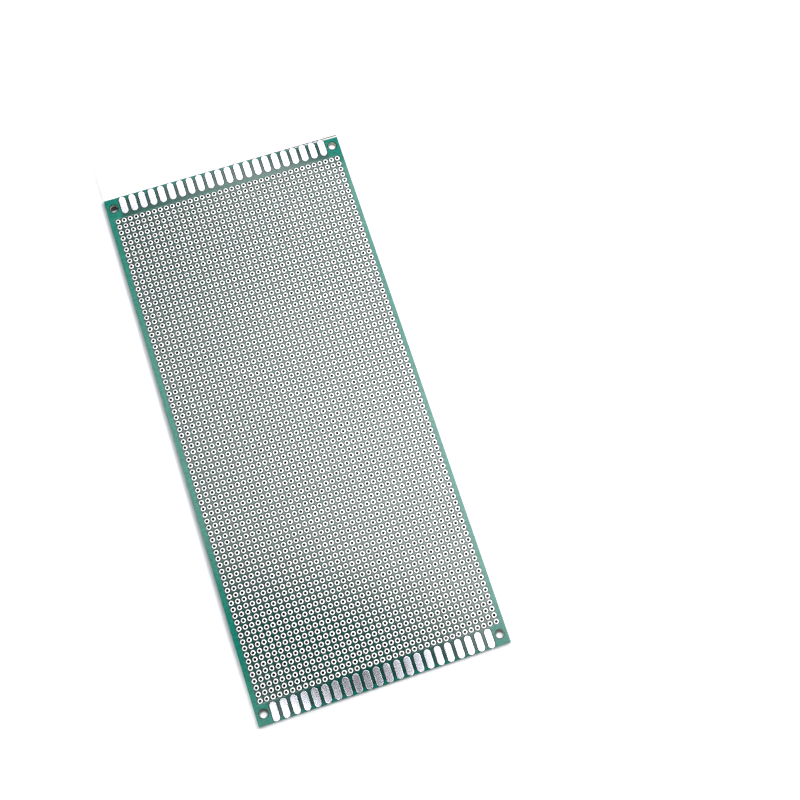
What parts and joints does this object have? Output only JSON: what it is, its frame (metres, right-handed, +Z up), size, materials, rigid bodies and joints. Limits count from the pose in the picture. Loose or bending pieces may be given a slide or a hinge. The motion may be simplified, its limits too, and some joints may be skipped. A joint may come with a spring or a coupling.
{
  "type": "bare prototyping circuit board",
  "caption": "Flat rectangular drilled circuit board with a plated hole grid on both faces, a row of edge contacts at each end and a mounting hole in each corner.",
  "frame": {"origin": "middle of the board's outline, on the plane that the underside's contacts and pad rims share", "axes": "+X across the board's short side, +Y along its long side, +Z up out of the top face"},
  "size_m": [0.1, 0.22, 0.0016],
  "materials": {
    "coated_laminate": "glossy green solder mask over glass-fibre laminate",
    "tinned_plating": "hot-air-levelled tin, bright and slightly domed",
    "tinned_contact": "hot-air-levelled tin, bright and gently uneven"
  },
  "bodies": {
    "root": {"laminate": "coated_laminate", "front_contacts_top": "tinned_contact", "rear_contacts_top": "tinned_contact", "front_contacts_bottom": "tinned_contact", "rear_contacts_bottom": "tinned_contact", "plated_rows_01": "tinned_plating", "plated_rows_02": "tinned_plating", "plated_rows_03": "tinned_plating", "plated_rows_04": "tinned_plating", "plated_rows_05": "tinned_plating", "plated_rows_06": "tinned_plating", "plated_rows_07": "tinned_plating", "plated_rows_08": "tinned_plating", "plated_rows_09": "tinned_plating", "plated_rows_10": "tinned_plating", "plated_rows_11": "tinned_plating", "plated_rows_12": "tinned_plating", "plated_rows_13": "tinned_plating", "plated_rows_14": "tinned_plating", "plated_rows_15": "tinned_plating", "plated_rows_16": "tinned_plating", "plated_rows_17": "tinned_plating", "plated_rows_18": "tinned_plating", "plated_rows_19": "tinned_plating", "plated_rows_20": "tinned_plating", "plated_rows_21": "tinned_plating", "plated_rows_22": "tinned_plating", "plated_rows_23": "tinned_plating", "plated_rows_24": "tinned_plating", "plated_rows_25": "tinned_plating", "plated_rows_26": "tinned_plating", "plated_rows_27": "tinned_plating", "plated_rows_28": "tinned_plating", "plated_rows_29": "tinned_plating", "plated_rows_30": "tinned_plating", "plated_rows_31": "tinned_plating", "plated_rows_32": "tinned_plating", "plated_rows_33": "tinned_plating", "plated_rows_34": "tinned_plating", "plated_rows_35": "tinned_plating", "plated_rows_36": "tinned_plating", "plated_rows_37": "tinned_plating", "plated_rows_38": "tinned_plating", "plated_rows_39": "tinned_plating", "plated_rows_40": "tinned_plating"}
  },
  "joints": []
}
